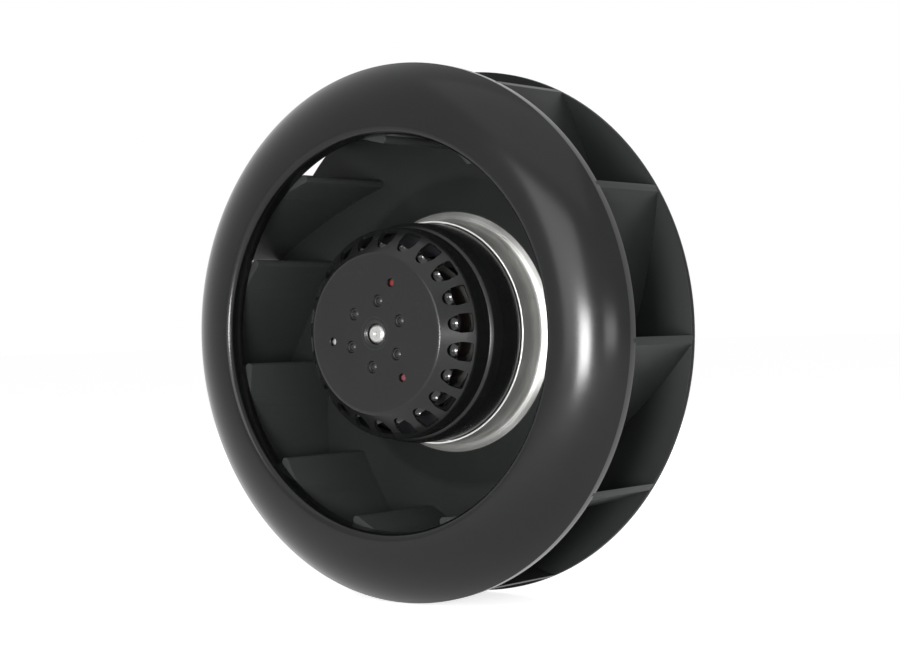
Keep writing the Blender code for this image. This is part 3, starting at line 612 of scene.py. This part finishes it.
plug = {"count": 3, "start": 67, "pitch": 22.6 * mm, "hole": 1.75 * mm, "holeBack": 66 * mm,
        "holeFront": 74 * mm, "radius": 1.6 * mm, "back": 68.6 * mm, "front": 71.1 * mm,
        "softEdge": 0.45 * mm}
# a dimple's outline is in shares of its radius and depth
dimple = {"count": 6, "start": 22, "pitch": 13.7 * mm, "radius": 2.7 * mm, "depth": 1.1 * mm,
          "steps": 24, "outline": ((0.1, 0.5), (0.34, 0.58), (0.5, 0.85), (0.62, 1.0),
                                   (0.78, 0.85), (0.98, 0), (1, -1))}
slant = Vector((bell["neck"] - bell["faceRadius"],
                bell["neckFront"] - bell["face"])).normalized()


def bellOutline():
    wall, face, radius, neck = bell["wall"], bell["face"], bell["radius"], bell["neck"]
    back, front = bell["shoulderBack"], bell["shoulderFront"]
    edge = Vector((bell["faceRadius"], face))
    corner = Vector((neck, bell["neckFront"]))
    crease = edge.lerp(corner, bell["crease"]) + Vector((-slant.y, slant.x)) * bell["proud"]
    inward = (crease - edge).normalized()
    outward = (corner - crease).normalized()
    along, down = bell["bandStart"]
    band = [
        edge + inward * along * mm + Vector((0, down * mm)),
        edge + inward * bell["bandFrom"],
        crease - inward * bell["creaseHalf"],
        crease + (outward - inward) * bell["creaseNear"],
        crease + outward * bell["creaseHalf"],
        corner - outward * bell["bandFrom"],
    ]
    outline = pointsBy((bell["bore"], face), bell["mouthRound"])
    outline += pointsBy((0, face), bell["faceGroove"]) + pointsBy(edge, bell["faceRound"])
    outline += [tuple(spot) for spot in band] + pointsBy(corner, bell["neckRound"])
    outline += pointsBy((neck, front), bell["ledgeRound"])
    outline += pointsBy(((neck + radius) / 2, bell["shoulderEdge"]), bell["middleRound"])
    outline += pointsBy((radius, back), bell["sideRound"])
    outline += [
        (radius, bell["rear"]), (radius - wall, bell["rear"]), (radius - wall, back),
        (neck - wall, front), (neck - wall, corner.y - bell["insideCorner"]),
        (edge.x - bell["insideCorner"], edge.y - wall), (bell["bossFoot"], edge.y - wall),
        (bell["bossFoot"], bell["bossFront"]), (bell["boss"], bell["bossFront"]),
        (bell["boss"], bell["bossBack"]), (bell["bore"], bell["bossBack"]),
    ]
    return outline


def ventPlace():
    # local X runs out along the slanted band, local Y round the rotor, local Z out of the band
    depth = bell["face"] + (vent["middle"] - bell["faceRadius"]) * slant.y / slant.x
    way = Matrix(((slant.x, 0, -slant.y), (-slant.y, 0, -slant.x), (0, 1, 0))).to_4x4()
    return Matrix.Translation((vent["middle"], -depth, 0)) @ way


def roundTheBell(pattern, name):
    # the pattern is set square in the band, and copied to every vent
    pattern.matrix_world = ventPlace()
    freeze(pattern)
    copies = [copyOf(pattern, name + "%02d" % k, angle)
              for k, angle in enumerate(evenly(vent["start"], vent["count"]))]
    bpy.data.objects.remove(pattern)
    return joined(copies, name + "s")


def ventCutter():
    half = vent["width"] / 2
    end = vent["length"] / 2
    start = end - vent["flank"]
    corner, turned, depth = vent["corner"], vent["noseAngle"], vent["cutDepth"]
    easeBack, easeIn = vent["ease"]
    drop = arc((vent["nose"] - end, 0), vent["nose"], turned, 360 - turned, vent["noseSteps"])
    drop += [(start - easeBack, easeIn - half), (start, -half)]
    drop += arc((end - corner, corner - half), corner, -90, 0, vent["cornerSteps"])
    drop += arc((end - corner, half - corner), corner, 0, 90, vent["cornerSteps"])
    drop += [(start, half), (start - easeBack, half - easeIn)]
    spots = [Vector((x, y, -depth / 2)) for x, y in drop]
    return roundTheBell(extruded("ventPattern", spots, (0, 0, depth)), "vent")


def makeScoops():
    # the hollow of an egg-shaped shell, kept below the sheet and up to the scoop's free edge
    deselect()
    middle = -bell["wall"] / 2
    start = -vent["length"] / 2
    bpy.ops.mesh.primitive_uv_sphere_add(segments=scoop["segments"], ring_count=scoop["rings"],
                                         radius=1)
    pattern = bpy.context.object
    pattern.scale = (scoop["reach"], scoop["half"], scoop["deep"])
    pattern.location = (scoop["deepest"] + start, 0, middle)
    freeze(pattern)
    bpy.ops.object.mode_set(mode="EDIT")
    for spot, way in (((0, 0, middle), (0, 0, 1)), ((scoop["length"] + start, 0, 0), (1, 0, 0))):
        bpy.ops.mesh.select_all(action="SELECT")
        bpy.ops.mesh.bisect(plane_co=spot, plane_no=way, clear_outer=True)
    modify(pattern, "SOLIDIFY", thickness=scoop["sheet"], offset=1.0)
    tidyNormals(pattern)
    bevel(pattern, scoop["softEdge"], segments=3)
    piece = roundTheBell(pattern, "scoop")
    smooth(piece, angle=60)
    settle(piece, "impeller", scoopPaintPaintedShade, "black_paint")


def plugCutter():
    holes = [rod("plugHole", plug["hole"], plug["holeBack"], plug["holeFront"], plug["pitch"],
                 angle) for angle in evenly(plug["start"], plug["count"])]
    return joined(holes, "plugHoles")


def dimpleCutter():
    outline = [(dimple["radius"] * out, bell["face"] - dimple["depth"] * deep)
               for out, deep in dimple["outline"]]
    pockets = []
    for angle in evenly(dimple["start"], dimple["count"]):
        pocket = turn("dimple", outline, dimple["steps"], closed=False)
        x, z = onCircle((0, 0), dimple["pitch"], angle)
        pocket.location = (x, 0, z)
        freeze(pocket)
        pockets.append(pocket)
    return joined(pockets, "dimples")


def makeBell():
    piece = turn("bellShell", bellOutline(), bell["steps"])
    for cutter in (ventCutter, plugCutter, dimpleCutter):
        cut(piece, cutter())
    bevel(piece, bell["softEdge"], angle=40)
    smooth(piece, angle=30)
    keepFlat(piece)
    settle(piece, "impeller", bellPaint, "black_paint", "rotor_bell")


makeBell()
makeScoops()
print("bell made")

# Shaft end and the small plugs
shaft = {"backRound": ((0.4, 0), (3, 0), (4, 1)), "steps": 64,
         "frontRound": ((4, -1), (3.2, -0.18), (2.95, 0), (1.2, 0), (0.3, -0.9))}


def makeShaft():
    low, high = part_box("shaft")
    outline = pointsBy((0, -high.y), shaft["backRound"])
    outline += pointsBy((0, -low.y), shaft["frontRound"])
    piece = turn("shaftRod", outline, shaft["steps"], closed=False)
    smooth(piece)
    settle(piece, "impeller", shaftSteel, "steel", "shaft")


def makePlugs():
    looks = ((plugRed, "red_plug"), (shaftSteel, "steel"), (plugPink, "red_plug"))
    places = evenly(plug["start"], plug["count"])
    for k, (angle, (look, slot)) in enumerate(zip(places, looks), 1):
        piece = rod("plugPin%d" % k, plug["radius"], plug["back"], plug["front"], plug["pitch"],
                    angle)
        bevel(piece, plug["softEdge"], angle=40, segments=3)
        smooth(piece, angle=60)
        settle(piece, "impeller", look, slot, "face_plug_%d" % k)


makeShaft()
makePlugs()
print("shaft and plugs made")

# Stator flange: casting with a labyrinth rim, bearing tube, screw bosses and cable hole
flange = {"radius": 46.0 * mm, "thick": 4.0 * mm, "chamfer": 0.8 * mm, "rim": 43.5 * mm,
          "rimWall": 2.0 * mm, "rimTop": 11.0 * mm, "foot": 16.4 * mm, "footTop": 12.7 * mm,
          "tube": 14.2 * mm, "tubeFront": 58.2 * mm, "bore": 11.3 * mm, "narrow": 9.9 * mm,
          "rearStep": 13.7 * mm, "frontStep": 49.7 * mm, "screws": 4, "screwStart": 45,
          "screwPitch": 37.0 * mm, "screwHole": 1.8 * mm, "screwDepth": 8 * mm,
          "boss": 4.5 * mm, "bossTop": 10.0 * mm, "cable": 24.0 * mm, "cableHole": 4.7 * mm,
          "cableRecess": 7.2 * mm, "recessDepth": 1.6 * mm, "cableSteps": 48,
          "softEdge": 0.35 * mm, "steps": 144}


def makeFlange():
    radius, thick, chamfer = flange["radius"], flange["thick"], flange["chamfer"]
    rim, top, foot, footTop = (flange[key] for key in ("rim", "rimTop", "foot", "footTop"))
    tube, end, bore, narrow = (flange[key] for key in ("tube", "tubeFront", "bore", "narrow"))
    inside = rim - flange["rimWall"]
    outline = [
        (bore, 0), (radius - chamfer, 0), (radius, chamfer), (radius, thick), (rim, thick),
        (rim, top), (inside, top), (inside, thick), (foot, thick), (foot, footTop),
        (tube, footTop), (tube, end), (bore, end), (bore, flange["frontStep"]),
        (narrow, flange["frontStep"]), (narrow, flange["rearStep"]), (bore, flange["rearStep"]),
    ]
    piece = turn("flangeCasting", outline, flange["steps"])
    places = evenly(flange["screwStart"], flange["screws"])
    pitch, steps = flange["screwPitch"], flange["cableSteps"]
    bosses = [rod("boss", flange["boss"], thick / 2, flange["bossTop"], pitch, angle)
              for angle in places]
    cut(piece, joined(bosses, "bosses"), "UNION")
    holes = [rod("screwHole", flange["screwHole"], -mm, flange["screwDepth"], pitch, angle)
             for angle in places]
    cut(piece, joined(holes, "screwHoles"))
    for name, depth in (("cableRecess", flange["recessDepth"]), ("cableHole", 2 * thick)):
        cut(piece, rod(name, flange[name], -mm, depth, flange["cable"], -90, steps))
    bevel(piece, flange["softEdge"])
    smooth(piece, angle=30)
    settle(piece, "stator", castMetal, "casting", "stator_flange")


# End cap and cable grommet, in millimetres from the axis of each and forward of the back
cap = {"outline": ((0.4, 0), (10.4, 0), (11, 0.6), (11, 1.6), (0.4, 1.6)), "steps": 96}
grommet = {"inner": 3.4 * mm, "outer": 6.1 * mm, "corner": 0.8 * mm, "middle": 0.85 * mm,
           "arcSteps": 5, "steps": 64,
           "neck": ((6.9, 1.3), (4.4, 1.3), (4.4, 4.3), (5.7, 4.3), (5.5, 4.6), (4.4, 4.95),
                    (2.6, 4.95))}


def makeCap():
    piece = turn("endCap", pointsBy((0, 0), cap["outline"]), cap["steps"], closed=False)
    smooth(piece, angle=30)
    settle(piece, "stator", castMetal, "casting", "end_cap")


def makeGrommet():
    middle, corner, steps = grommet["middle"], grommet["corner"], grommet["arcSteps"]
    outline = arc((grommet["inner"], middle), corner, 180, 270, steps)
    outline += arc((grommet["outer"], middle), corner, 270, 360, steps)
    outline += pointsBy((0, 0), grommet["neck"])
    piece = turn("rubberGrommet", outline, grommet["steps"])
    piece.location = (0, 0, -flange["cable"])
    freeze(piece)
    smooth(piece, angle=30)
    settle(piece, "stator", rubberBlack, "rubber", "cable_grommet")


# Coil ends: a fat ring with a bundle over every tooth, and a dip between bundles
coil = {"inner": 18.0 * mm, "outer": 31.0 * mm, "corner": 2.6 * mm, "bundles": 18, "dip": 0.09,
        "pinch": 0.5, "frontLow": 45.9 * mm, "frontHigh": 55.0 * mm, "rearLow": 5.8 * mm,
        "rearHigh": 12.7 * mm, "arcSteps": 5, "steps": 180}


def makeCoils(name, low, high, node):
    inner, outer, corner, steps = (coil[key] for key in ("inner", "outer", "corner", "arcSteps"))
    outline = []
    for x, y, start in ((inner + corner, low + corner, 180), (outer - corner, low + corner, 270),
                        (outer - corner, high - corner, 0), (inner + corner, high - corner, 90)):
        outline += arc((x, y), corner, start, start + 90, steps)
    piece = turn(name, outline, coil["steps"])
    middle = (low + high) / 2
    for vert in piece.data.vertices:
        wave = abs(sin(coil["bundles"] / 2 * atan2(vert.co.z, vert.co.x)))
        swell = 1 - coil["dip"] * (1 - wave) ** 2
        vert.co.y = -middle + (vert.co.y + middle) * swell
        radius = sqrt(vert.co.x ** 2 + vert.co.z ** 2)
        grow = 1 - (1 - swell) * (radius - inner) / (outer - inner) * coil["pinch"]
        vert.co.x *= grow
        vert.co.z *= grow
    smooth(piece, angle=40)
    settle(piece, "stator", wireInPaintedShade, "winding", node)


makeFlange()
makeCap()
makeGrommet()
makeCoils("frontCoils", coil["frontLow"], coil["frontHigh"], "front_winding")
makeCoils("rearCoils", coil["rearLow"], coil["rearHigh"], "rear_winding")
print("stator made")

# Solids that keep their CAD mesh. The cores, insulators and windings inside the bell carry colours
# darkened as painted shade.
for material, names in (
    (laminationsInPaintedShade, ("stator_core", "rotor_core")),
    (insulationInPaintedShade, ("front_insulator", "rear_insulator", "thermal_cutout")),
    (darkSpring, ("wave_washer", "shaft_clip")),
    (brassCage, ("front_ball_cage", "rear_ball_cage")),
    (shaftSteel, ("front_bearing_inner_ring", "rear_bearing_inner_ring",
                  "front_bearing_outer_ring", "rear_bearing_outer_ring")),
):
    for name in names:
        dress(nodes[name], material)
print("small pieces dressed")

# Camera, floor and light. "Lit" is how strongly white lights the object, "seen" how white the
# camera, gloss and glass see it. "Around" is in degrees from straight in front of the inlet
# towards +X, "up" in degrees over the axis, and "away" and "size" are in metres.
view = {"around": 37.8, "distance": 843.75 * mm, "aim": 52 * mm, "lens": 80.64, "sensor": 36,
        "roll": 1.58, "shiftX": 45 / 900, "shiftY": 0.7 / 900, "nearest": 0.01}
white = (1, 1, 1, 1)
sky = {"lit": 0.25, "seen": 1.0}
ground = {"size": 30, "below": 0.5 * mm, "colour": (0.8, 0.8, 0.8, 1), "roughness": 0.9,
          "lit": 0.0, "seen": 0.79}
lampAim = Vector((0, -0.04, 0))
lamps = {
    "keySoftbox": {"around": 24.5, "up": -3.4, "away": 0.61, "size": (0.14, 0.14), "power": 3.5},
    "broadSoftbox": {"around": 9, "up": 12, "away": 1.2, "size": (0.76, 0.72), "power": 5.5},
    "sideSoftbox": {"around": 54, "up": -2, "away": 1.2, "size": (0.3, 0.22), "power": 1.5},
    "frontFill": {"around": 38, "up": 16, "away": 1.6, "size": (1.4, 1.4), "power": 7.5},
    "topSoftbox": {"around": 20, "up": 62, "away": 1.6, "size": (1.7, 1.4), "power": 3.5},
    "backSoftbox": {"around": 200, "up": 28, "away": 1.5, "size": (1.2, 1.0), "power": 8},
}
notInGloss = ("frontFill", "backSoftbox")


def makeCamera():
    swing = radians(view["around"])
    spot = (view["distance"] * sin(swing), -view["aim"] - view["distance"] * cos(swing), 0)
    bpy.ops.object.camera_add(location=spot,
                              rotation=(radians(90), radians(view["roll"]), swing))
    camera = bpy.context.object
    camera.data.lens = view["lens"]
    camera.data.sensor_width = view["sensor"]
    camera.data.shift_x = view["shiftX"]
    camera.data.shift_y = view["shiftY"]
    camera.data.clip_start = view["nearest"]
    bpy.context.scene.camera = camera


def whiteWhere(tree, lit, seen):
    path = tree.nodes.new("ShaderNodeLightPath").outputs
    direct = mathNode(tree, "MAXIMUM", path["Is Camera Ray"], path["Is Transmission Ray"])
    direct = mathNode(tree, "MAXIMUM", direct, path["Is Glossy Ray"])
    return mapped(tree, direct, 0.0, 1.0, lit, seen)


def makeWorld():
    world = bpy.data.worlds.new("softWhite")
    world.use_nodes = True
    bpy.context.scene.world = world
    tree = world.node_tree
    feed(tree, tree.nodes["Background"],
         {"Color": white, "Strength": whiteWhere(tree, sky["lit"], sky["seen"])})


def makeFloor():
    deselect()
    height = cadBounds[0][2] - ground["below"]
    bpy.ops.mesh.primitive_plane_add(size=ground["size"], location=(0, 0, height))
    floor = bpy.context.object
    floor.name = "floor"
    material, tree, shader = startMaterial("paleFloor")
    feed(tree, shader, {
        "Base Color": ground["colour"], "Roughness": ground["roughness"],
        "Specular IOR Level": 0.0, "Emission Color": white,
        "Emission Strength": whiteWhere(tree, ground["lit"], ground["seen"]),
    })
    floor.data.materials.append(material)


def makeLamp(name, around, up, away, size, power):
    a, e = radians(around), radians(up)
    spot = lampAim + Vector((sin(a) * cos(e), -cos(a) * cos(e), sin(e))) * away
    turned = (lampAim - spot).to_track_quat("-Z", "Y").to_euler()
    bpy.ops.object.light_add(type="AREA", location=spot, rotation=turned)
    light = bpy.context.object
    light.name = name
    light.data.shape = "RECTANGLE"
    light.data.size, light.data.size_y = size
    light.data.energy = power
    light.visible_glossy = name not in notInGloss


makeCamera()
makeWorld()
makeFloor()
for name, values in lamps.items():
    makeLamp(name, **values)
bpy.context.scene.view_settings.view_transform = "Standard"
print("camera, floor and light ready")
